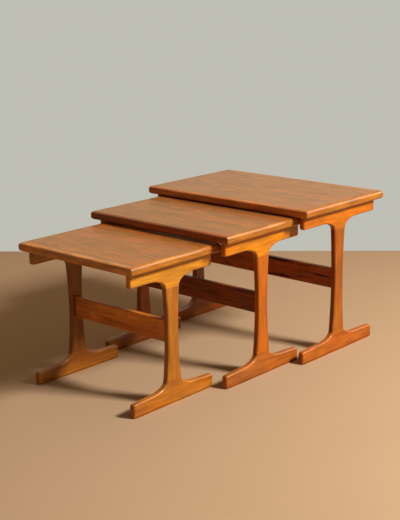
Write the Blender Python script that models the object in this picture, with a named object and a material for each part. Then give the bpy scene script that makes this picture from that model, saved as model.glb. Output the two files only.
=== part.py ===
"""A nest of three teak side tables.

Each table is a veneered top with mitred, bullnosed lippings, carried by two
side frames (rail, waisted leg, foot) joined by one stretcher board.  The two
smaller tables stand staggered in front of the largest one and slide along Y.

Metres, +Z up, floor at z = 0, X runs from side frame to side frame and the
front of the nest faces -Y.
"""
import math

import bmesh
import bpy
from mathutils import Vector

# ---------------------------------------------------------------- driving sizes
FIT_GAP = 0.0003          # clearance left at every glued or screwed contact

TABLES = {
    "large": {"width": 0.614, "depth": 0.384, "height": 0.4595},
    "middle": {"width": 0.526, "depth": 0.352, "height": 0.4332},
    "small": {"width": 0.434, "depth": 0.336, "height": 0.405},
}
PULL_MIDDLE = 0.302       # middle table's centre ahead of the large one's
PULL_SMALL = 0.315        # small table's centre ahead of the middle one's

TOP_THICK = 0.024
LIP_WIDTH = 0.014         # solid lipping, bullnosed on its outer side
NOSE_RADIUS = 0.0085      # rounding at the top and bottom of the bullnose

STOCK = 0.0180            # thickness of rails, legs and feet
SIDE_OVERHANG = 0.022     # nose of the top beyond a rail's outer face
END_OVERHANG = 0.016      # nose of the top beyond a rail's end
ARRIS = 0.0022            # softened edge on all frame members

RAIL_HEIGHT = 0.037
HAUNCH_RUN = 0.057
HAUNCH_DROP = 0.027
RAIL_CORNER = 0.006

FOOT_END_HEIGHT = 0.038
FOOT_RISE = 0.003
FOOT_SWEEP_RUN = 0.060
FOOT_JOINT = 0.066
FOOT_CORNER = 0.008
FOOT_INSET = 0.0005       # a foot is this much shorter per end than its rail

WAIST_HALF = 0.0198       # half the depth of a leg at its waist
LEG_TOP_FLARE = 0.0060
LEG_BOTTOM_FLARE = 0.0082

STRETCHER_HEIGHT = 0.060
STRETCHER_THICK = 0.017
STRETCHER_LEVEL = 0.48    # centre height over the table height

SHOULDER = 0.0045         # step round every tenon
LEG_TENON = 0.025
STRETCHER_TENON = 0.010

SCREW_SPREAD = 0.72       # screw position over half a rail's length
BORE_RADIUS = 0.0048
BORE_DEPTH = 0.014
SHANK_RADIUS = 0.0020
HEAD_RADIUS = 0.0042
HEAD_HEIGHT = 0.0028
SCREW_BITE = 0.011        # length of screw inside the top
SLOT_WIDTH = 0.0010
SLOT_DEPTH = 0.0012

# ------------------------------------------------------------------- materials
FINISHES = {
    "top_panel": ((0.46, 0.235, 0.105), 0.42, 0.0),
    "lipping": ((0.55, 0.255, 0.075), 0.38, 0.0),
    "frame": ((0.52, 0.235, 0.065), 0.45, 0.0),
    "stretcher": ((0.36, 0.135, 0.050), 0.48, 0.0),
    "screw": ((0.42, 0.40, 0.36), 0.35, 1.0),
}


def make_material(name, finish):
    """A plain Principled material for one piece."""
    colour, roughness, metallic = FINISHES[finish]
    material = bpy.data.materials.new(name + "_" + finish)
    material.use_nodes = True
    shader = material.node_tree.nodes["Principled BSDF"]
    shader.inputs["Base Color"].default_value = (*colour, 1.0)
    shader.inputs["Roughness"].default_value = roughness
    shader.inputs["Metallic"].default_value = metallic
    material.diffuse_color = (*colour, 1.0)
    return material


def add_object(name, mesh, finish, parent, location):
    """Link a mesh as one named piece under its table's empty."""
    mesh.set_sharp_from_angle(angle=math.radians(32.0))
    piece = bpy.data.objects.new(name, mesh)
    bpy.context.scene.collection.objects.link(piece)
    piece.parent = parent
    piece.location = location
    mesh.materials.append(make_material(name, finish))
    return piece


def mesh_from(builder, name, smooth=True):
    """Turn a finished bmesh into mesh data with outward normals."""
    bmesh.ops.recalc_face_normals(builder, faces=builder.faces)
    mesh = bpy.data.meshes.new(name)
    builder.to_mesh(mesh)
    builder.free()
    for polygon in mesh.polygons:
        polygon.use_smooth = smooth
    return mesh


# ------------------------------------------------------------ shared construction
def prism(outline, thickness):
    """A closed slab from a (y, z) outline, centred on x = 0."""
    builder = bmesh.new()
    near = [builder.verts.new((-thickness / 2, y, z)) for y, z in outline]
    far = [builder.verts.new((thickness / 2, y, z)) for y, z in outline]
    builder.faces.new(near)
    builder.faces.new(reversed(far))
    count = len(outline)
    for index in range(count):
        after = (index + 1) % count
        builder.faces.new((near[index], far[index], far[after], near[after]))
    bmesh.ops.recalc_face_normals(builder, faces=builder.faces)
    return builder


def soften_rim(builder, keep_sharp):
    """Round the two rims of a slab, except where keep_sharp(y, z) is true."""
    rims = []
    for edge in builder.edges:
        first, second = edge.verts
        on_side = min(abs(first.co.x), abs(second.co.x)) > STOCK / 2 - 1e-6
        if not on_side or first.co.x * second.co.x < 0:
            continue
        middle = (first.co + second.co) / 2
        if not keep_sharp(middle.y, middle.z):
            rims.append(edge)
    bmesh.ops.bevel(
        builder, geom=rims, offset=ARRIS, offset_type="OFFSET",
        segments=2, profile=0.5, affect="EDGES", clamp_overlap=True,
    )


def grow_tenon(builder, direction, length):
    """Inset the faces looking along direction and extrude them as a tenon."""
    heading = Vector(direction)
    builder.normal_update()
    level = max(vert.co.dot(heading) for vert in builder.verts)
    ends = []
    for face in builder.faces:
        flat = face.normal.dot(heading) > 0.999
        if flat and abs(face.calc_center_median().dot(heading) - level) < 1e-6:
            ends.append(face)
    bmesh.ops.inset_region(
        builder, faces=ends, thickness=SHOULDER, depth=0.0,
        use_even_offset=True, use_boundary=True,
    )
    grown = bmesh.ops.extrude_discrete_faces(builder, faces=ends)
    moved = {vert for face in grown["faces"] for vert in face.verts}
    bmesh.ops.translate(builder, verts=list(moved), vec=heading * length)


def add_box(builder, low, high):
    """Add a closed box between two corners."""
    made = bmesh.ops.create_cube(builder, size=1.0)["verts"]
    low_corner = Vector(low)
    size = Vector(high) - low_corner
    for vert in made:
        share = vert.co + Vector((0.5, 0.5, 0.5))
        vert.co = low_corner + Vector(a * b for a, b in zip(share, size))


def add_lathe(builder, profile, centre, sides=12):
    """Add a closed turned solid; the profile starts and ends on the axis."""
    rings = []
    for radius, height in profile[1:-1]:
        ring = []
        for step in range(sides):
            angle = 2 * math.pi * step / sides
            offset = Vector((radius * math.cos(angle), radius * math.sin(angle), height))
            ring.append(builder.verts.new(Vector(centre) + offset))
        rings.append(ring)
    low = builder.verts.new(Vector(centre) + Vector((0, 0, profile[0][1])))
    high = builder.verts.new(Vector(centre) + Vector((0, 0, profile[-1][1])))
    for step in range(sides):
        after = (step + 1) % sides
        builder.faces.new((low, rings[0][after], rings[0][step]))
        builder.faces.new((high, rings[-1][step], rings[-1][after]))
        for lower, upper in zip(rings, rings[1:]):
            builder.faces.new((lower[step], lower[after], upper[after], upper[step]))


def cut(piece, builder):
    """Subtract a hidden cutter, modelled in the piece's own space."""
    cutter = bpy.data.objects.new(piece.name + "_cutter", mesh_from(builder, "cutter", False))
    bpy.context.scene.collection.objects.link(cutter)
    cutter.parent = piece.parent
    cutter.location = piece.location
    cutter.hide_render = True
    cutter.display_type = "WIRE"
    modifier = piece.modifiers.new("Cut", "BOOLEAN")
    modifier.operation = "DIFFERENCE"
    modifier.solver = "EXACT"
    modifier.object = cutter


def quarter(centre, radii, start, steps):
    """Points of a quarter ellipse from the given start angle in degrees."""
    points = []
    for step in range(steps + 1):
        angle = math.radians(start + 90.0 * step / steps)
        y = centre[0] + radii[0] * math.cos(angle)
        z = centre[1] + radii[1] * math.sin(angle)
        points.append((y, z))
    return points


def mirrored(half):
    """Close a +y half outline with its mirror image."""
    return half + [(-y, z) for y, z in reversed(half)]


# ----------------------------------------------------------------- derived sizes
def sizes_of(table):
    """Everything a table's pieces share, from its width, depth and height."""
    spec = TABLES[table]
    half_depth = spec["depth"] / 2
    under_top = spec["height"] - TOP_THICK
    rail_bottom = under_top - RAIL_HEIGHT
    return {
        **spec,
        "half_length": half_depth - END_OVERHANG,
        "frame_x": spec["width"] / 2 - SIDE_OVERHANG - STOCK / 2,
        "leg_top_half": WAIST_HALF + LEG_TOP_FLARE,
        "leg_bottom_half": WAIST_HALF + LEG_BOTTOM_FLARE,
        "under_top": under_top,
        "rail_bottom": rail_bottom,
        "rail_joint": rail_bottom - HAUNCH_DROP,
        "stretcher_z": STRETCHER_LEVEL * spec["height"],
        "screw_y": SCREW_SPREAD * (half_depth - END_OVERHANG),
    }


# ------------------------------------------------------------------------- tops
def add_top(table, size, parent):
    """Veneered panel with four mitred lippings round it."""
    inner = (size["width"] / 2 - LIP_WIDTH, size["depth"] / 2 - LIP_WIDTH)
    bottom = size["under_top"]
    builder = bmesh.new()
    add_box(
        builder,
        (-inner[0] + FIT_GAP, -inner[1] + FIT_GAP, bottom),
        (inner[0] - FIT_GAP, inner[1] - FIT_GAP, size["height"]),
    )
    panel = add_object(
        table + "_top_panel", mesh_from(builder, "top_panel", False),
        "top_panel", parent, (0, 0, 0),
    )
    pilots = bmesh.new()
    reach = bottom + SCREW_BITE + 2 * FIT_GAP
    hole = SHANK_RADIUS + FIT_GAP
    profile = ((0, bottom - 0.002), (hole, bottom - 0.002), (hole, reach), (0, reach))
    for side in (-1, 1):
        for end in (-1, 1):
            centre = (side * size["frame_x"], end * size["screw_y"], 0)
            add_lathe(pilots, profile, centre)
    cut(panel, pilots)

    middle_z = bottom + TOP_THICK / 2
    runs = (
        ("front", inner[0], inner[1], math.radians(180.0)),
        ("back", inner[0], inner[1], 0.0),
        ("left", inner[1], inner[0], math.radians(90.0)),
        ("right", inner[1], inner[0], math.radians(-90.0)),
    )
    for label, half_run, stand_off, turn in runs:
        lip = add_object(
            table + "_lip_" + label, lipping_mesh(half_run),
            "lipping", parent, (0, 0, middle_z),
        )
        outward = Vector((-math.sin(turn), math.cos(turn), 0))
        lip.location = outward * stand_off + Vector((0, 0, middle_z))
        lip.rotation_euler = (0, 0, turn)


def lipping_mesh(half_run):
    """A bullnosed strip along x with 45 degree mitred ends, growing to +y."""
    half = TOP_THICK / 2
    centre = (LIP_WIDTH - NOSE_RADIUS, half - NOSE_RADIUS)
    radii = (NOSE_RADIUS, NOSE_RADIUS)
    profile = [(0.0, -half)]
    profile += quarter((centre[0], -centre[1]), radii, -90.0, 5)
    profile += quarter(centre, radii, 0.0, 5)
    profile.append((0.0, half))
    mitre_gap = FIT_GAP * math.sqrt(0.5)
    builder = bmesh.new()
    left = []
    right = []
    for out, z in profile:
        end = half_run + out - mitre_gap
        left.append(builder.verts.new((-end, out, z)))
        right.append(builder.verts.new((end, out, z)))
    builder.faces.new(left)
    builder.faces.new(reversed(right))
    count = len(profile)
    for index in range(count):
        after = (index + 1) % count
        builder.faces.new((left[index], right[index], right[after], left[after]))
    return mesh_from(builder, "lipping")


# ------------------------------------------------------------------ side frames
def rail_outline(size):
    """Flat-topped rail whose underside drops in a haunch to the leg."""
    length = size["half_length"]
    low = size["rail_bottom"]
    joint_half = size["leg_top_half"]
    joint = size["rail_joint"] + FIT_GAP
    half = [(length, size["under_top"] - FIT_GAP)]
    half += quarter((length - RAIL_CORNER, low + RAIL_CORNER), (RAIL_CORNER, -RAIL_CORNER), 0, 3)
    sweep = quarter((joint_half + HAUNCH_RUN, low - HAUNCH_DROP), (-HAUNCH_RUN, HAUNCH_DROP), 0, 7)
    half += list(reversed(sweep))[:-1]
    half.append((joint_half, joint))
    return mirrored(half)


def foot_outline(size):
    """Flat-bottomed foot that sweeps up to the leg."""
    length = size["half_length"] - FOOT_INSET
    joint_half = size["leg_bottom_half"]
    joint = FOOT_JOINT - FIT_GAP
    crown = FOOT_END_HEIGHT + FOOT_RISE
    half = [(length - 0.003, 0.0), (length - 0.0008, 0.0008), (length, 0.003)]
    half += quarter((length - FOOT_CORNER, FOOT_END_HEIGHT - FOOT_CORNER), (FOOT_CORNER, FOOT_CORNER), 0, 3)
    sweep = quarter((joint_half + FOOT_SWEEP_RUN, FOOT_JOINT), (-FOOT_SWEEP_RUN, crown - FOOT_JOINT), 0, 7)
    half += list(reversed(sweep))[:-1]
    half.append((joint_half, joint))
    return mirrored(half)


def leg_outline(size):
    """Waisted leg between the foot joint and the rail joint."""
    low = FOOT_JOINT
    high = size["rail_joint"]
    waist_z = (low + high) / 2
    half = []
    for step in range(13):
        z = low + (high - low) * step / 12
        share = (z - waist_z) / (high - waist_z)
        flare = LEG_TOP_FLARE if share > 0 else LEG_BOTTOM_FLARE
        half.append((WAIST_HALF + flare * share * share, z))
    return mirrored(half)


def add_frame(table, size, side, label, parent):
    """Rail, leg, foot and the two fixing screws of one side frame."""
    place = (side * size["frame_x"], 0, 0)
    leg_span = (FOOT_JOINT, size["rail_joint"])

    builder = prism(rail_outline(size), STOCK)
    joint = size["rail_joint"] + FIT_GAP
    under_top = size["under_top"] - FIT_GAP
    soften_rim(builder, lambda y, z: abs(z - joint) < 1e-6 or abs(z - under_top) < 1e-6)
    rail = add_object(table + "_rail_" + label, mesh_from(builder, "rail"), "frame", parent, place)
    holes = bmesh.new()
    add_mortise(holes, size["leg_top_half"], joint - 0.002, leg_span[1] + LEG_TENON + FIT_GAP)
    for end in (-1, 1):
        add_lathe(holes, screw_hole(size), (0, end * size["screw_y"], 0))
    cut(rail, holes)

    builder = prism(foot_outline(size), STOCK)
    seat = FOOT_JOINT - FIT_GAP
    soften_rim(builder, lambda y, z: abs(z - seat) < 1e-6 or z < 1e-6)
    foot = add_object(table + "_foot_" + label, mesh_from(builder, "foot"), "frame", parent, place)
    holes = bmesh.new()
    add_mortise(holes, size["leg_bottom_half"], leg_span[0] - LEG_TENON - FIT_GAP, seat + 0.002)
    cut(foot, holes)

    builder = prism(leg_outline(size), STOCK)
    grow_tenon(builder, (0, 0, 1), LEG_TENON)
    grow_tenon(builder, (0, 0, -1), LEG_TENON)
    soften_rim(builder, lambda y, z: min(abs(z - leg_span[0]), abs(z - leg_span[1])) < 1e-6)
    leg = add_object(table + "_leg_" + label, mesh_from(builder, "leg"), "frame", parent, place)
    holes = bmesh.new()
    inner_face = -side * STOCK / 2
    bottom_of_pocket = inner_face + side * (STRETCHER_TENON + 2 * FIT_GAP)
    tenon_y = STRETCHER_THICK / 2 - SHOULDER + FIT_GAP
    tenon_z = STRETCHER_HEIGHT / 2 - SHOULDER + FIT_GAP
    spread = sorted((inner_face - side * 0.002, bottom_of_pocket))
    add_box(
        holes,
        (spread[0], -tenon_y, size["stretcher_z"] - tenon_z),
        (spread[1], tenon_y, size["stretcher_z"] + tenon_z),
    )
    cut(leg, holes)

    for end, end_label in ((-1, "front"), (1, "back")):
        spot = (side * size["frame_x"], end * size["screw_y"], 0)
        add_screw(table + "_screw_" + label + "_" + end_label, size, parent, spot)


def add_mortise(builder, joint_half, low, high):
    """Pocket for a leg tenon, a fit gap larger all round."""
    half_y = joint_half - SHOULDER + FIT_GAP
    half_x = STOCK / 2 - SHOULDER + FIT_GAP
    add_box(builder, (-half_x, -half_y, low), (half_x, half_y, high))


# ----------------------------------------------------------------------- screws
def screw_hole(size):
    """Counterbore and clearance hole right through a rail."""
    step = size["rail_bottom"] + BORE_DEPTH
    hole = SHANK_RADIUS + FIT_GAP
    start = size["rail_bottom"] - 0.002
    finish = size["under_top"] + 0.002
    return (
        (0, start), (BORE_RADIUS, start), (BORE_RADIUS, step),
        (hole, step), (hole, finish), (0, finish),
    )


def add_screw(name, size, parent, spot):
    """Slotted pan-head wood screw, driven upwards into the top."""
    seat = size["rail_bottom"] + BORE_DEPTH - FIT_GAP
    tip = size["under_top"] + SCREW_BITE
    profile = (
        (0, seat - HEAD_HEIGHT), (HEAD_RADIUS * 0.72, seat - HEAD_HEIGHT),
        (HEAD_RADIUS, seat - HEAD_HEIGHT * 0.55), (HEAD_RADIUS, seat),
        (SHANK_RADIUS, seat), (SHANK_RADIUS, tip - 0.003),
        (SHANK_RADIUS * 0.25, tip), (0, tip),
    )
    builder = bmesh.new()
    add_lathe(builder, profile, (0, 0, 0))
    screw = add_object(name, mesh_from(builder, "screw"), "screw", parent, spot)
    slot = bmesh.new()
    face = seat - HEAD_HEIGHT
    add_box(
        slot,
        (-SLOT_WIDTH / 2, -HEAD_RADIUS - 0.001, face - 0.001),
        (SLOT_WIDTH / 2, HEAD_RADIUS + 0.001, face + SLOT_DEPTH),
    )
    cut(screw, slot)


# -------------------------------------------------------------------- stretchers
def add_stretcher(table, size, parent):
    """Board between the legs with a stub tenon at each end."""
    half_run = size["frame_x"] - STOCK / 2 - FIT_GAP
    builder = bmesh.new()
    add_box(
        builder,
        (-half_run, -STRETCHER_THICK / 2, -STRETCHER_HEIGHT / 2),
        (half_run, STRETCHER_THICK / 2, STRETCHER_HEIGHT / 2),
    )
    grow_tenon(builder, (1, 0, 0), STRETCHER_TENON)
    grow_tenon(builder, (-1, 0, 0), STRETCHER_TENON)
    long_edges = [
        edge for edge in builder.edges
        if abs(edge.verts[0].co.x - edge.verts[1].co.x) > half_run
    ]
    bmesh.ops.bevel(
        builder, geom=long_edges, offset=ARRIS, offset_type="OFFSET",
        segments=3, profile=0.5, affect="EDGES", clamp_overlap=True,
    )
    add_object(
        table + "_stretcher", mesh_from(builder, "stretcher"),
        "stretcher", parent, (0, 0, size["stretcher_z"]),
    )


# --------------------------------------------------------------------- assembly
def add_table(table, centre_y):
    """One whole table, parented to an empty on its sliding axis."""
    size = sizes_of(table)
    carrier = bpy.data.objects.new(table + "_table", None)
    bpy.context.scene.collection.objects.link(carrier)
    carrier.location = (0, centre_y, 0)
    add_top(table, size, carrier)
    add_frame(table, size, -1, "left", carrier)
    add_frame(table, size, 1, "right", carrier)
    add_stretcher(table, size, carrier)


def build_nest():
    """Three tables, drawn out one in front of the other."""
    for leftover in list(bpy.data.objects):
        bpy.data.objects.remove(leftover, do_unlink=True)
    back = TABLES["large"]["depth"] / 2
    front = TABLES["small"]["depth"] / 2
    span = back + PULL_MIDDLE + PULL_SMALL + front
    large_y = span / 2 - back
    middle_y = large_y - PULL_MIDDLE
    small_y = middle_y - PULL_SMALL
    add_table("large", large_y)
    add_table("middle", middle_y)
    add_table("small", small_y)


build_nest()
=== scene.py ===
"""Looks for the nest of three teak tables: detailed pieces, teak finishes, stage, lights and camera.

Everything is in metres in the row frame: X runs from side frame to side frame,
+Y from the small table to the large one, +Z up from the floor.
"""
import math

import bmesh
import bpy
from mathutils import Matrix, Vector


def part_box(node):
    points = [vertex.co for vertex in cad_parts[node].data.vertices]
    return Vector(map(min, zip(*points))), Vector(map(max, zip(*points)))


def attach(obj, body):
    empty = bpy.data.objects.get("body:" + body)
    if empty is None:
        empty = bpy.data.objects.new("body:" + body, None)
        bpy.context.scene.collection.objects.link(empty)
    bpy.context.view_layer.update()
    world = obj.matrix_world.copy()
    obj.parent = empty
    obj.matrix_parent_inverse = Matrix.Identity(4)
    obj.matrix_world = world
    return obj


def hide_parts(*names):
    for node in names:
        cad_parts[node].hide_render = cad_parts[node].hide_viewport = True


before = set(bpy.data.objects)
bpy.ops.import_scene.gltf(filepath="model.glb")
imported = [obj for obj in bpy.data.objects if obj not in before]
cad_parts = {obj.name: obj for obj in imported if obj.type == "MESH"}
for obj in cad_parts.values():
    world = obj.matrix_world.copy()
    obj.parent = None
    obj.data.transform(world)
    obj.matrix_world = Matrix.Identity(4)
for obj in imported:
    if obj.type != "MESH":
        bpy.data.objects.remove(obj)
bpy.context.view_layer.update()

TABLES = ("large", "middle", "small")
SIDES = ("left", "right")
ENDS = ("front", "back")

# ------------------------------------------- shape values shared with the CAD
FIT_GAP = 0.0003
LIP_WIDTH = 0.014
NOSE_RADIUS = 0.0085
RAIL_CORNER = 0.006
HAUNCH_RUN = 0.057
HAUNCH_DROP = 0.027
FOOT_END_HEIGHT = 0.038
FOOT_RISE = 0.003
FOOT_SWEEP_RUN = 0.060
FOOT_CORNER = 0.008
FOOT_SOLE_ROUND = 0.003
WAIST_HALF = 0.0198
LEG_TOP_FLARE = 0.0060
LEG_BOTTOM_FLARE = 0.0082
LEG_TENON = 0.025
BORE_PLAY = 0.0006        # counterbore beyond the screw head
HEAD_HEIGHT = 0.0028

# -------------------------------------------- finer shape, only in the looks
ARRIS = 0.0050            # rounding of the frame members' edges
STRETCHER_ARRIS = 0.0030
ARRIS_STEPS = 5
MITRE_ROUND = 0.0035      # plan radius of a top's corners at the nose
HAIRLINE = 0.00005        # glue line left between panel, lippings and mitres
BORE_OVERLAP = 0.001      # the clearance hole starts this far inside the counterbore
SHARP_ANGLE = 40.0        # edges sharper than this stay crisp, in degrees
SAME_PLACE = 1e-6         # two heights closer than this are the same

# ------------------------------------------------------- points along each curve
CORNER_STEPS = 6
SOLE_STEPS = 4
SWEEP_STEPS = 20
WAIST_STEPS = 24
NOSE_STEPS = 10
MITRE_STEPS = 5
BORE_SIDES = 24


# ------------------------------------------------------------------ mesh helpers
def quarter(centre, radii, start, steps):
    """Points of a quarter ellipse from the given start angle in degrees."""
    points = []
    for step in range(steps + 1):
        angle = math.radians(start + 90.0 * step / steps)
        y = centre[0] + radii[0] * math.cos(angle)
        z = centre[1] + radii[1] * math.sin(angle)
        points.append((y, z))
    return points


def mirrored(half):
    """Close a +y half outline with its mirror image."""
    return half + [(-y, z) for y, z in reversed(half)]


def inset(outline, distance, is_held):
    """Move an outline's edges inwards, except those where is_held(y, z) is true."""
    count = len(outline)
    area = sum(
        a[0] * b[1] - b[0] * a[1] for a, b in zip(outline, outline[1:] + outline[:1])
    )
    turn = 1.0 if area > 0 else -1.0
    edges = []
    for index in range(count):
        here = Vector(outline[index])
        there = Vector(outline[(index + 1) % count])
        run = (there - here).normalized()
        inward = Vector((-run.y, run.x)) * turn
        middle = (here + there) / 2
        edges.append((inward, 0.0 if is_held(middle.x, middle.y) else distance))
    moved = []
    for index in range(count):
        first, first_step = edges[index - 1]
        second, second_step = edges[index]
        cross = first.x * second.y - first.y * second.x
        if abs(cross) < 0.3 and first_step == second_step:
            middle = (first + second).normalized()
            shift = middle * (first_step / middle.dot(first))
        else:
            shift = Vector((
                (first_step * second.y - second_step * first.y) / cross,
                (second_step * first.x - first_step * second.x) / cross,
            ))
        moved.append((outline[index][0] + shift.x, outline[index][1] + shift.y))
    return moved


def loft(name, rings):
    """A closed mesh through rings of equal length, with flat ends."""
    builder = bmesh.new()
    loops = [[builder.verts.new(point) for point in ring] for ring in rings]
    for lower, upper in zip(loops, loops[1:]):
        for index in range(len(lower)):
            after = (index + 1) % len(lower)
            builder.faces.new((lower[index], lower[after], upper[after], upper[index]))
    builder.faces.new(reversed(loops[0]))
    builder.faces.new(loops[-1])
    bmesh.ops.recalc_face_normals(builder, faces=builder.faces)
    mesh = bpy.data.meshes.new(name)
    builder.to_mesh(mesh)
    builder.free()
    return mesh


def add_piece(name, mesh, table, node, material):
    """Link a detailed piece in place of its CAD node, on its table's body."""
    piece = bpy.data.objects.new(name, mesh)
    bpy.context.scene.collection.objects.link(piece)
    mesh.materials.append(material)
    for polygon in mesh.polygons:
        polygon.use_smooth = True
    mesh.set_sharp_from_angle(angle=math.radians(SHARP_ANGLE))
    weighted = piece.modifiers.new("Even normals", "WEIGHTED_NORMAL")
    weighted.keep_sharp = True
    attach(piece, table + "_table")
    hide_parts(node)
    return piece


def cut_with(mesh, cutter_mesh):
    """The mesh left after subtracting a cutter."""
    body = bpy.data.objects.new("cut_body", mesh)
    cutter = bpy.data.objects.new("cutter", cutter_mesh)
    for obj in (body, cutter):
        bpy.context.scene.collection.objects.link(obj)
    modifier = body.modifiers.new("Cut", "BOOLEAN")
    modifier.operation = "DIFFERENCE"
    modifier.solver = "EXACT"
    modifier.object = cutter
    depsgraph = bpy.context.evaluated_depsgraph_get()
    result = bpy.data.meshes.new_from_object(body.evaluated_get(depsgraph))
    bpy.data.objects.remove(body)
    bpy.data.objects.remove(cutter)
    return result


# ------------------------------------------------------------------ frame members
def slab(name, outline, span, centre_y, is_held):
    """A board between two x planes whose outline edges are softly rounded."""
    low, high = span
    profile = []
    for step in range(ARRIS_STEPS + 1):
        angle = math.radians(90.0 * step / ARRIS_STEPS)
        profile.append((ARRIS * (1 - math.cos(angle)), ARRIS * (1 - math.sin(angle))))
    levels = [(low + x, depth) for x, depth in profile]
    levels += [(high - x, depth) for x, depth in reversed(profile)]
    rings = []
    for x, depth in levels:
        ring = inset(outline, depth, is_held) if depth > 1e-7 else outline
        rings.append([(x, centre_y + y, z) for y, z in ring])
    return loft(name, rings)


def rail_outline(low, high):
    """Flat-topped rail whose underside drops in a haunch to the leg."""
    length = (high.y - low.y) / 2
    bottom = low.z - FIT_GAP + HAUNCH_DROP
    joint_half = WAIST_HALF + LEG_TOP_FLARE
    half = [(length, high.z)]
    half += quarter(
        (length - RAIL_CORNER, bottom + RAIL_CORNER), (RAIL_CORNER, -RAIL_CORNER), 0, CORNER_STEPS
    )
    sweep = quarter(
        (joint_half + HAUNCH_RUN, bottom - HAUNCH_DROP), (-HAUNCH_RUN, HAUNCH_DROP), 0, SWEEP_STEPS
    )
    half += list(reversed(sweep))[:-1]
    half.append((joint_half, low.z))
    return mirrored(half)


def foot_outline(low, high):
    """Flat-bottomed foot that sweeps up to the leg."""
    length = (high.y - low.y) / 2
    joint_half = WAIST_HALF + LEG_BOTTOM_FLARE
    joint = high.z + FIT_GAP
    crown = FOOT_END_HEIGHT + FOOT_RISE
    sole = (FOOT_SOLE_ROUND, FOOT_SOLE_ROUND)
    half = quarter((length - sole[0], low.z + sole[1]), sole, -90.0, SOLE_STEPS)
    half += quarter(
        (length - FOOT_CORNER, FOOT_END_HEIGHT - FOOT_CORNER), (FOOT_CORNER, FOOT_CORNER), 0,
        CORNER_STEPS,
    )
    sweep = quarter(
        (joint_half + FOOT_SWEEP_RUN, joint), (-FOOT_SWEEP_RUN, crown - joint), 0, SWEEP_STEPS
    )
    half += list(reversed(sweep))[:-1]
    half.append((joint_half, high.z))
    return mirrored(half)


def leg_outline(low, high):
    """Waisted leg between the foot joint and the rail joint."""
    foot_joint = low.z + LEG_TENON
    rail_joint = high.z - LEG_TENON
    waist_z = (foot_joint + rail_joint) / 2
    half = []
    for step in range(WAIST_STEPS + 1):
        z = foot_joint + (rail_joint - foot_joint) * step / WAIST_STEPS
        share = (z - waist_z) / (rail_joint - waist_z)
        flare = LEG_TOP_FLARE if share > 0 else LEG_BOTTOM_FLARE
        half.append((WAIST_HALF + flare * share * share, z))
    return mirrored(half)


def add_frame_member(table, part, side, outline, is_held, material):
    """One rail, leg or foot."""
    node = table + "_" + part + "_" + side
    low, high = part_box(node)
    mesh = slab(node + "_wood", outline, (low.x, high.x), (low.y + high.y) / 2, is_held)
    if part == "rail":
        mesh = cut_with(mesh, screw_holes(table, side))
    return add_piece(node + "_wood", mesh, table, node, material)


def screw_holes(table, side):
    """Counterbores and clearance holes for a rail's two screws."""
    builder = bmesh.new()
    for end in ENDS:
        low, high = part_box(table + "_screw_" + side + "_" + end)
        bore = (high.x - low.x) / 2 + BORE_PLAY
        seat = low.z + HEAD_HEIGHT + FIT_GAP
        rail_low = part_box(table + "_rail_" + side)[0].z
        cuts = ((bore, rail_low, seat), (bore / 2, seat - BORE_OVERLAP, high.z))
        for radius, start, finish in cuts:
            made = bmesh.ops.create_cone(
                builder, cap_ends=True, segments=BORE_SIDES, radius1=radius, radius2=radius,
                depth=finish - start,
            )["verts"]
            centre = Vector(((low.x + high.x) / 2, (low.y + high.y) / 2, (start + finish) / 2))
            bmesh.ops.translate(builder, verts=made, vec=centre)
    mesh = bpy.data.meshes.new("screw_holes")
    builder.to_mesh(mesh)
    builder.free()
    return mesh


def add_stretcher(table, material):
    """The board between the legs, its long edges rounded."""
    node = table + "_stretcher"
    low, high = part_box(node)
    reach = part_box(table + "_leg_right")[0].x - FIT_GAP
    half_y = (high.y - low.y) / 2
    half_z = (high.z - low.z) / 2
    middle = (low + high) / 2
    section = []
    for y, z, start in ((1, 1, 0), (-1, 1, 90), (-1, -1, 180), (1, -1, 270)):
        centre = (y * (half_y - STRETCHER_ARRIS), z * (half_z - STRETCHER_ARRIS))
        section += quarter(centre, (STRETCHER_ARRIS, STRETCHER_ARRIS), start, ARRIS_STEPS)
    rings = []
    for x in (-reach, reach):
        rings.append([(x, middle.y + y, middle.z + z) for y, z in section])
    mesh = loft(node + "_wood", rings)
    return add_piece(node + "_wood", mesh, table, node, material)


# ---------------------------------------------------------------------- lippings
def add_lipping(table, label, material):
    """A bullnosed strip with mitred ends and softly rounded corners."""
    node = table + "_lip_" + label
    low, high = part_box(node)
    centre = (low + high) / 2
    along_x = label in ENDS
    half_run = ((high.x - low.x) if along_x else (high.y - low.y)) / 2 - LIP_WIDTH + FIT_GAP
    outward = {"front": Vector((0, -1, 0)), "back": Vector((0, 1, 0)),
               "left": Vector((-1, 0, 0)), "right": Vector((1, 0, 0))}[label]
    along = Vector((1, 0, 0)) if along_x else Vector((0, 1, 0))
    width = LIP_WIDTH
    outer = max(high.dot(outward), low.dot(outward))
    inner_edge = centre - outward * centre.dot(outward) + outward * (outer - width)

    half = (high.z - low.z) / 2
    core = (width - NOSE_RADIUS, half - NOSE_RADIUS)
    radii = (NOSE_RADIUS, NOSE_RADIUS)
    profile = [(HAIRLINE - FIT_GAP, -half)]
    profile += quarter((core[0], -core[1]), radii, -90.0, NOSE_STEPS)
    profile += quarter(core, radii, 0.0, NOSE_STEPS)
    profile.append((HAIRLINE - FIT_GAP, half))

    stations = []
    for side in (-1, 1):
        turns = [45.0 * step / MITRE_STEPS for step in range(MITRE_STEPS + 1)]
        for turn in (reversed(turns) if side < 0 else turns):
            stations.append((side, math.radians(turn)))
    rings = []
    for side, turn in stations:
        ring = []
        for out, z in profile:
            radius = MITRE_ROUND * max(out, 0.0) / width
            run = half_run + out - radius + radius * math.sin(turn) - HAIRLINE
            reach = out - radius + radius * math.cos(turn)
            ring.append(inner_edge + along * (side * run) + outward * reach + Vector((0, 0, z)))
        rings.append(ring)
    mesh = loft(node + "_wood", rings)
    return add_piece(node + "_wood", mesh, table, node, material)


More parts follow.
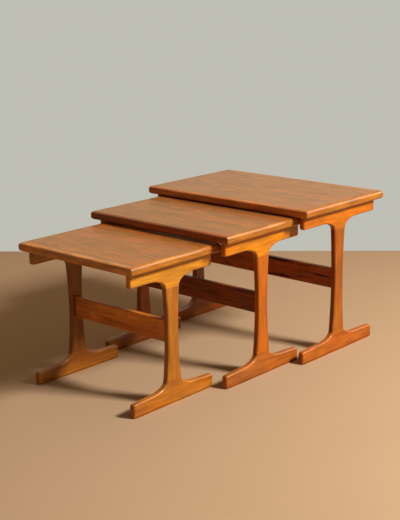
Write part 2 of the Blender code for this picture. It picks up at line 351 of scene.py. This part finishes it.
# ------------------------------------------------------------------- node helper
class Graph:
    """Short-hand for building a material's node tree."""

    def __init__(self, name):
        self.material = bpy.data.materials.new(name)
        self.material.use_nodes = True
        self.nodes = self.material.node_tree.nodes
        self.links = self.material.node_tree.links
        self.shader = self.nodes["Principled BSDF"]

    def add(self, kind, inputs=None, **settings):
        node = self.nodes.new(kind)
        for key, value in settings.items():
            setattr(node, key, value)
        for key, value in (inputs or {}).items():
            self.feed(node.inputs[key], value)
        return node

    def feed(self, socket, value):
        if isinstance(value, bpy.types.NodeSocket):
            self.links.new(value, socket)
        else:
            socket.default_value = value

    def math(self, operation, *values):
        node = self.add("ShaderNodeMath", dict(enumerate(values)), operation=operation)
        return node.outputs[0]

    def vector(self, operation, first, second):
        node = self.add("ShaderNodeVectorMath", {0: first, 1: second}, operation=operation)
        return node.outputs[0]

    def noise(self, coords, stretch, detail=3.0, roughness=0.55):
        """Noise whose features are 1/stretch metres long in each direction."""
        node = self.add(
            "ShaderNodeTexNoise",
            {"Vector": self.vector("MULTIPLY", coords, stretch), "Scale": 1.0,
             "Detail": detail, "Roughness": roughness},
        )
        return node.outputs["Fac"]

    def spread(self, value, low, high, out_low=0.0, out_high=1.0):
        node = self.add(
            "ShaderNodeMapRange",
            {"Value": value, "From Min": low, "From Max": high, "To Min": out_low, "To Max": out_high},
            interpolation_type="SMOOTHSTEP",
        )
        return node.outputs[0]

    def mix(self, factor, first, second, blend="MIX"):
        node = self.add("ShaderNodeMix", data_type="RGBA", blend_type=blend)
        self.feed(node.inputs[0], factor)
        for socket, value in ((node.inputs[6], first), (node.inputs[7], second)):
            self.feed(socket, (*value, 1.0) if isinstance(value, tuple) else value)
        return node.outputs[2]


# ------------------------------------------------------------------------ finishes
GRAIN_TURN = {            # rotation that lays the grain along the texture's X
    "X": (0.0, 0.0, 0.0),
    "Y": (0.0, 0.0, math.radians(-90.0)),
    "Z": (0.0, math.radians(90.0), 0.0),
}


def teak(name, grain, seed, tone, pith=(0.3, 0.25), pitch=0.007, rings=0.4, strands=0.35,
         clouds=(3.0, 18.0), olives=0.45, figure=0.12, blotches=0.12, veins=0.0,
         roughness=0.45, coat=0.35, coat_roughness=0.22, specular=0.15):
    """Teak with growth rings, fibre, pores and slow colour change.

    tone holds the light, dark, rosy and olive colours. pith is where the heart of
    the log lies across the grain, so that wide faces show arches and edges lines.
    """
    light, dark, rosy, olive = tone
    g = Graph(name)
    origin = g.add("ShaderNodeTexCoord").outputs["Object"]
    turned = g.add("ShaderNodeMapping", {"Vector": origin, "Rotation": GRAIN_TURN[grain]}).outputs[0]
    place = g.vector("ADD", turned, (seed * 1.37, seed * 0.71, seed * 0.53))

    wander = g.add(
        "ShaderNodeTexNoise",
        {"Vector": g.vector("MULTIPLY", place, (1.6, 6.0, 6.0)), "Scale": 1.0,
         "Detail": 2.0, "Roughness": 0.5},
    ).outputs["Color"]
    wander = g.vector("SUBTRACT", wander, (0.5, 0.5, 0.5))
    warped = g.vector("ADD", turned, g.vector("MULTIPLY", wander, (0.0, 0.075, 0.075)))
    split = g.add("ShaderNodeSeparateXYZ", {0: warped})
    across = g.math("SUBTRACT", split.outputs[1], pith[0])
    deep = g.math("SUBTRACT", split.outputs[2], pith[1])
    squares = g.math("ADD", g.math("MULTIPLY", across, across), g.math("MULTIPLY", deep, deep))
    radius = g.math("SQRT", squares)
    ragged = g.noise(place, (9.0, 90.0, 90.0), 2.0)
    radius = g.math("MULTIPLY_ADD", ragged, pitch * 0.9, radius)
    wave = g.math("SINE", g.math("MULTIPLY", radius, 2.0 * math.pi / pitch))
    ring = g.math("POWER", g.math("MULTIPLY_ADD", wave, 0.5, 0.5), 2.4)
    ring = g.math("MULTIPLY", ring, g.spread(g.noise(place, (2.2, 26.0, 26.0), 2.0), 0.35, 0.65, 0.2, 1.0))

    fibre = g.noise(place, (7.0, 420.0, 420.0), 4.0, 0.62)
    strand = g.noise(place, (2.4, 85.0, 85.0), 3.0, 0.6)
    cloud = g.noise(place, (clouds[0], clouds[1], clouds[1]), 3.0, 0.5)
    pores = g.spread(g.noise(place, (60.0, 1500.0, 1500.0), 1.0), 0.60, 0.74)

    streak = g.noise(place, (clouds[0] * 1.3, clouds[1] * 1.9, clouds[1] * 1.9), 4.0, 0.62)
    flame = g.noise(place, (16.0, 170.0, 170.0), 3.0, 0.6)
    blotch = g.noise(place, (14.0, 36.0, 36.0), 2.0, 0.5)

    colour = g.mix(g.spread(cloud, 0.40, 0.60), light, rosy)
    colour = g.mix(g.math("MULTIPLY", g.spread(streak, 0.48, 0.60), olives), colour, olive)
    colour = g.mix(g.math("MULTIPLY", ring, rings), colour, dark)
    colour = g.mix(g.math("MULTIPLY", g.spread(strand, 0.46, 0.72), strands), colour, dark)
    shade = g.spread(fibre, 0.28, 0.72, 0.84, 1.12)
    shade = g.math("MULTIPLY", shade, g.math("MULTIPLY_ADD", pores, -0.30, 1.0))
    shade = g.math("MULTIPLY", shade, g.spread(flame, 0.30, 0.70, 1.0 - figure, 1.0 + figure))
    shade = g.math("MULTIPLY", shade, g.spread(blotch, 0.35, 0.65, 1.0 - blotches, 1.0 + blotches))
    if veins:
        vein = g.spread(g.noise(place, (6.0, 75.0, 75.0), 5.0, 0.68), 0.54, 0.62)
        shade = g.math("MULTIPLY", shade, g.math("MULTIPLY_ADD", vein, -veins, 1.0))
    grey = g.add("ShaderNodeCombineColor", {0: shade, 1: shade, 2: shade}).outputs[0]
    g.feed(g.shader.inputs["Base Color"], g.mix(1.0, colour, grey, "MULTIPLY"))

    rough = g.spread(fibre, 0.3, 0.7, roughness - 0.05, roughness + 0.07)
    g.feed(g.shader.inputs["Roughness"], g.math("MULTIPLY_ADD", pores, 0.15, rough))
    g.shader.inputs["Specular IOR Level"].default_value = specular
    g.shader.inputs["Coat Weight"].default_value = coat
    g.shader.inputs["Coat Roughness"].default_value = coat_roughness

    height = g.math("MULTIPLY_ADD", fibre, 0.35, g.math("MULTIPLY", pores, -1.0))
    bump = g.add("ShaderNodeBump", {"Strength": 0.35, "Distance": 0.00012, "Height": height})
    g.feed(g.shader.inputs["Normal"], bump.outputs[0])
    return g.material


def steel(name):
    """Zinc-plated screw steel with fine turned lines."""
    g = Graph(name)
    origin = g.add("ShaderNodeTexCoord").outputs["Object"]
    fine = g.noise(origin, (300.0, 300.0, 2500.0), 3.0)
    blotch = g.noise(origin, (180.0, 180.0, 180.0), 3.0)
    colour = g.mix(g.spread(blotch, 0.3, 0.7), (0.47, 0.45, 0.41), (0.30, 0.28, 0.25))
    g.feed(g.shader.inputs["Base Color"], colour)
    g.feed(g.shader.inputs["Roughness"], g.spread(fine, 0.3, 0.7, 0.28, 0.48))
    g.shader.inputs["Metallic"].default_value = 1.0
    bump = g.add("ShaderNodeBump", {"Strength": 0.3, "Distance": 0.00005, "Height": fine})
    g.feed(g.shader.inputs["Normal"], bump.outputs[0])
    return g.material


def tinted(tone, tint):
    """Every colour of a tone multiplied by a tint."""
    return tuple(tuple(a * b for a, b in zip(colour, tint)) for colour in tone)


TOP_TONE = (
    (0.345, 0.104, 0.0070), (0.160, 0.046, 0.0060), (0.385, 0.099, 0.0095), (0.240, 0.096, 0.0105),
)
LIP_TONE = (
    (0.360, 0.136, 0.0110), (0.170, 0.048, 0.0050), (0.335, 0.098, 0.0050), (0.275, 0.120, 0.0150),
)
FRAME_TONE = (
    (0.405, 0.150, 0.0036), (0.225, 0.062, 0.0025), (0.370, 0.113, 0.0020), (0.310, 0.128, 0.0060),
)

# how each board differs from the common tone; the middle stretcher's darker tint is also painted shade
BOARD_TINTS_AND_SHADE = {
    "small": {"top": (0.94, 0.92, 0.5), "front": (1.60, 1.65, 3.6), "rail": (1.15, 1.24, 2.6),
              "leg": (0.80, 0.78, 2.2), "foot": (0.92, 0.84, 2.2), "stretcher": (1.70, 1.50, 5.0)},
    "middle": {"top": (0.86, 0.90, 0.9), "front": (0.85, 0.62, 0.9), "rail": (1.20, 1.10, 0.5),
               # painted shade: the middle stretcher is darkened to stand in for the shade from the small
               # table nested next to it
               "leg": (1.03, 0.74, 0.4), "foot": (0.82, 0.62, 2.2), "stretcher": (0.60, 0.34, 1.6)},
    "large": {"top": (0.93, 1.09, 3.2), "front": (1.45, 1.25, 2.4), "rail": (1.14, 0.88, 0.5),
              "leg": (0.73, 0.57, 1.0), "foot": (0.90, 0.60, 1.2), "stretcher": (1.05, 0.62, 2.4)},
}
SIDE_LIP_TINT = (0.98, 0.92, 0.8)
SIDE_PAINTED_SHADE = {"left": 0.78, "right": 1.0}     # the left boards are painted darker: painted shade standing in for the shade under the tops


def finish_top(table, seed):
    """Veneered panel: the CAD node with a better material."""
    tone = tinted(TOP_TONE, BOARD_TINTS_AND_SHADE[table]["top"])
    material = teak(
        table + "_top_teak", "X", seed + 1, tone, pith=(0.02, 0.30), pitch=0.010, rings=0.32,
        strands=0.45, clouds=(5.0, 26.0), olives=0.70, figure=0.26, blotches=0.08,
        roughness=0.40, coat=0.5, coat_roughness=0.24, specular=0.5,
    )
    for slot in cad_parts[table + "_top_panel"].material_slots:
        slot.material = material


def add_lippings(table, seed):
    """The four mitred strips round a top."""
    for offset, label in enumerate(("front", "back", "left", "right")):
        lengthwise = label in ENDS
        tint = BOARD_TINTS_AND_SHADE[table]["front"] if lengthwise else SIDE_LIP_TINT
        material = teak(
            table + "_lip_teak_" + label, "X" if lengthwise else "Y", seed + 2 + offset * 0.6,
            tinted(LIP_TONE, tint), pith=(0.1, 0.2), pitch=0.006, rings=0.35, strands=0.4,
            clouds=(9.0, 30.0), olives=0.6, figure=0.16, roughness=0.36, coat=0.45, coat_roughness=0.14,
        )
        add_lipping(table, label, material)


def add_side_frame(table, side, seed):
    """Rail, leg and foot of one side."""
    # painted shade: the left side's rail, leg and foot are darkened to stand in for the shade under the
    # tops
    shade = SIDE_PAINTED_SHADE[side]
    tones = {part: tinted(FRAME_TONE, [shade * share for share in BOARD_TINTS_AND_SHADE[table][part]])
             for part in ("rail", "leg", "foot")}
    low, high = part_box(table + "_rail_" + side)
    rail_top = high.z
    rail_joint = low.z
    outline = rail_outline(low, high)
    add_frame_member(
        table, "rail", side, outline,
        lambda y, z: min(rail_top - z, z - rail_joint) < SAME_PLACE,
        teak(table + "_rail_teak_" + side, "Y", seed + 3, tones["rail"]),
    )
    low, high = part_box(table + "_leg_" + side)
    leg_low = low.z + LEG_TENON
    leg_high = high.z - LEG_TENON
    outline = leg_outline(low, high)
    add_frame_member(
        table, "leg", side, outline,
        lambda y, z: min(z - leg_low, leg_high - z) < SAME_PLACE,
        teak(table + "_leg_teak_" + side, "Z", seed + 4, tones["leg"]),
    )
    low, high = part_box(table + "_foot_" + side)
    joint = high.z
    outline = foot_outline(low, high)
    add_frame_member(
        table, "foot", side, outline, lambda y, z: min(z, joint - z) < SAME_PLACE,
        teak(table + "_foot_teak_" + side, "Y", seed + 5, tones["foot"]),
    )
    for end in ENDS:
        node = table + "_screw_" + side + "_" + end
        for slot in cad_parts[node].material_slots:
            slot.material = steel(node + "_steel")


def dress_table(table, seed):
    """All the looks of one table."""
    finish_top(table, seed)
    add_lippings(table, seed)
    for offset, side in enumerate(SIDES):
        add_side_frame(table, side, seed + offset * 3.3)
    veins = {"large": 0.90, "middle": 0.45, "small": 0.30}[table]
    add_stretcher(table, teak(
        table + "_stretcher_teak", "X", seed + 9, tinted(FRAME_TONE, BOARD_TINTS_AND_SHADE[table]["stretcher"]),
        pith=(0.1, 0.3), pitch=0.009, rings=0.45, strands=0.5, veins=veins,
    ))


for index, table in enumerate(TABLES):
    dress_table(table, 10 * index)


# ----------------------------------------------------------------------- the stage
VIEW_TURN = 42.1423       # the camera looks this far to the left of +Y, in degrees
VIEW_TILT = 14.6403       # and this far below the horizon
VIEW_ROLL = -0.8296
CAMERA_PLACE = (2.0578, -2.2734, 1.0933)
LENS = 75.52
BACKDROP_RUN = 4.33       # level distance from the camera to the back of the floor
BACKDROP_SKEW = 0.0512    # how much nearer the backdrop comes per metre to the right
FLOOR_REACH = 9.0         # floor on each side of the camera's line of sight
FLOOR_DEPTH = 14.0        # floor from its back edge towards the camera and beyond

KEY_PLACE = (2.8, 0.81, 2.45)
KEY_TARGET = (0.0, 0.0, 0.3)
KEY_SIZE = (0.7, 0.7)
KEY_POWER = 250.0         # watts
KEY_COLOUR = (1.0, 0.95, 0.88)

ROOM_DIM = (0.225, 0.150, 0.094)
ROOM_BRIGHT = (0.600, 0.430, 0.250)
MIRRORED_ROOM = (0.125, 0.090, 0.060)
MIRRORED_BACKDROP = (0.460, 0.435, 0.290)
CEILING = (0.80, 0.72, 0.58)
WINDOW = (0.56, 0.685, 0.462)     # direction of the mirrored window
WINDOW_GLOW = (6.0, 5.8, 5.2)
BACKDROP = (0.520, 0.520, 0.460)

AWAY = Vector((-math.sin(math.radians(VIEW_TURN)), math.cos(math.radians(VIEW_TURN)), 0.0))
ACROSS = Vector((AWAY.y, -AWAY.x, 0.0))


def add_floor():
    """A plain pale floor that ends in a straight line behind the nest."""
    back = Vector((CAMERA_PLACE[0], CAMERA_PLACE[1], 0.0)) + AWAY * BACKDROP_RUN
    seam = (ACROSS - AWAY * BACKDROP_SKEW) * FLOOR_REACH
    run = AWAY * FLOOR_DEPTH
    corners = (back - seam, back - seam - run, back + seam - run, back + seam)
    builder = bmesh.new()
    builder.faces.new([builder.verts.new(corner) for corner in corners])
    bmesh.ops.recalc_face_normals(builder, faces=builder.faces)
    mesh = bpy.data.meshes.new("floor")
    builder.to_mesh(mesh)
    builder.free()
    g = Graph("floor_finish")
    origin = g.add("ShaderNodeTexCoord").outputs["Object"]
    soft = g.noise(origin, (2.0, 2.0, 2.0), 2.0)
    g.feed(g.shader.inputs["Base Color"], g.mix(soft, (0.375, 0.258, 0.160), (0.355, 0.242, 0.148)))
    g.shader.inputs["Roughness"].default_value = 0.95
    g.shader.inputs["Specular IOR Level"].default_value = 0.1
    mesh.materials.append(g.material)
    floor = bpy.data.objects.new("floor", mesh)
    bpy.context.scene.collection.objects.link(floor)


def add_area(name, place, target, size, power, colour):
    """A soft box aimed at a point."""
    light = bpy.data.lights.new(name, "AREA")
    light.shape = "RECTANGLE"
    light.size, light.size_y = size
    light.energy = power
    light.color = colour
    lamp = bpy.data.objects.new(name, light)
    lamp.location = place
    aim = Vector(target) - Vector(place)
    lamp.rotation_euler = aim.to_track_quat("-Z", "Y").to_euler()
    bpy.context.scene.collection.objects.link(lamp)


def add_world():
    """Pale backdrop and dim room; polished edges also mirror a ceiling and a tall window."""
    world = bpy.data.worlds.new("studio")
    world.use_nodes = True
    nodes = world.node_tree.nodes
    links = world.node_tree.links

    def add_share(heading, low, high):
        """0 to 1 as the direction turns towards a heading, between two cosines."""
        facing = nodes.new("ShaderNodeVectorMath")
        facing.operation = "DOT_PRODUCT"
        links.new(direction, facing.inputs[0])
        facing.inputs[1].default_value = heading
        share = nodes.new("ShaderNodeMapRange")
        share.interpolation_type = "SMOOTHSTEP"
        links.new(facing.outputs["Value"], share.inputs["Value"])
        share.inputs["From Min"].default_value = low
        share.inputs["From Max"].default_value = high
        return share.outputs[0]

    def add_mix(share, first, second, blend="MIX"):
        """A colour mix whose colours are tuples or sockets."""
        mixed = nodes.new("ShaderNodeMix")
        mixed.data_type = "RGBA"
        mixed.blend_type = blend
        links.new(share, mixed.inputs[0])
        for socket, value in ((mixed.inputs[6], first), (mixed.inputs[7], second)):
            if isinstance(value, tuple):
                socket.default_value = (*value, 1.0)
            else:
                links.new(value, socket)
        return mixed.outputs[2]

    direction = nodes.new("ShaderNodeTexCoord").outputs["Generated"]
    path = nodes.new("ShaderNodeLightPath")
    towards_backdrop = add_share(AWAY, -0.1, 0.6)
    room = add_mix(towards_backdrop, ROOM_DIM, ROOM_BRIGHT)
    mirrored_room = add_mix(towards_backdrop, MIRRORED_ROOM, MIRRORED_BACKDROP)
    mirrored_room = add_mix(add_share((0.0, 0.0, 1.0), 0.45, 0.85), mirrored_room, CEILING, "ADD")
    mirrored_room = add_mix(add_share(WINDOW, 0.88, 0.98), mirrored_room, WINDOW_GLOW, "ADD")
    room = add_mix(path.outputs["Is Glossy Ray"], room, mirrored_room)
    room = add_mix(path.outputs["Is Camera Ray"], room, BACKDROP)
    links.new(room, nodes["Background"].inputs["Color"])
    bpy.context.scene.world = world


def add_camera():
    """A viewpoint at the front right, above the tops, looking down on them."""
    data = bpy.data.cameras.new("camera")
    data.lens = LENS
    data.sensor_width = 36.0
    camera = bpy.data.objects.new("camera", data)
    turn = Matrix.Rotation(math.radians(VIEW_TURN), 4, "Z")
    tilt = Matrix.Rotation(math.radians(90.0 - VIEW_TILT), 4, "X")
    roll = Matrix.Rotation(math.radians(VIEW_ROLL), 4, "Z")
    camera.matrix_world = Matrix.Translation(CAMERA_PLACE) @ turn @ tilt @ roll
    bpy.context.scene.collection.objects.link(camera)
    bpy.context.scene.camera = camera


add_floor()
add_area("key", KEY_PLACE, KEY_TARGET, KEY_SIZE, KEY_POWER, KEY_COLOUR)
add_world()
add_camera()
bpy.context.scene.view_settings.view_transform = "Standard"
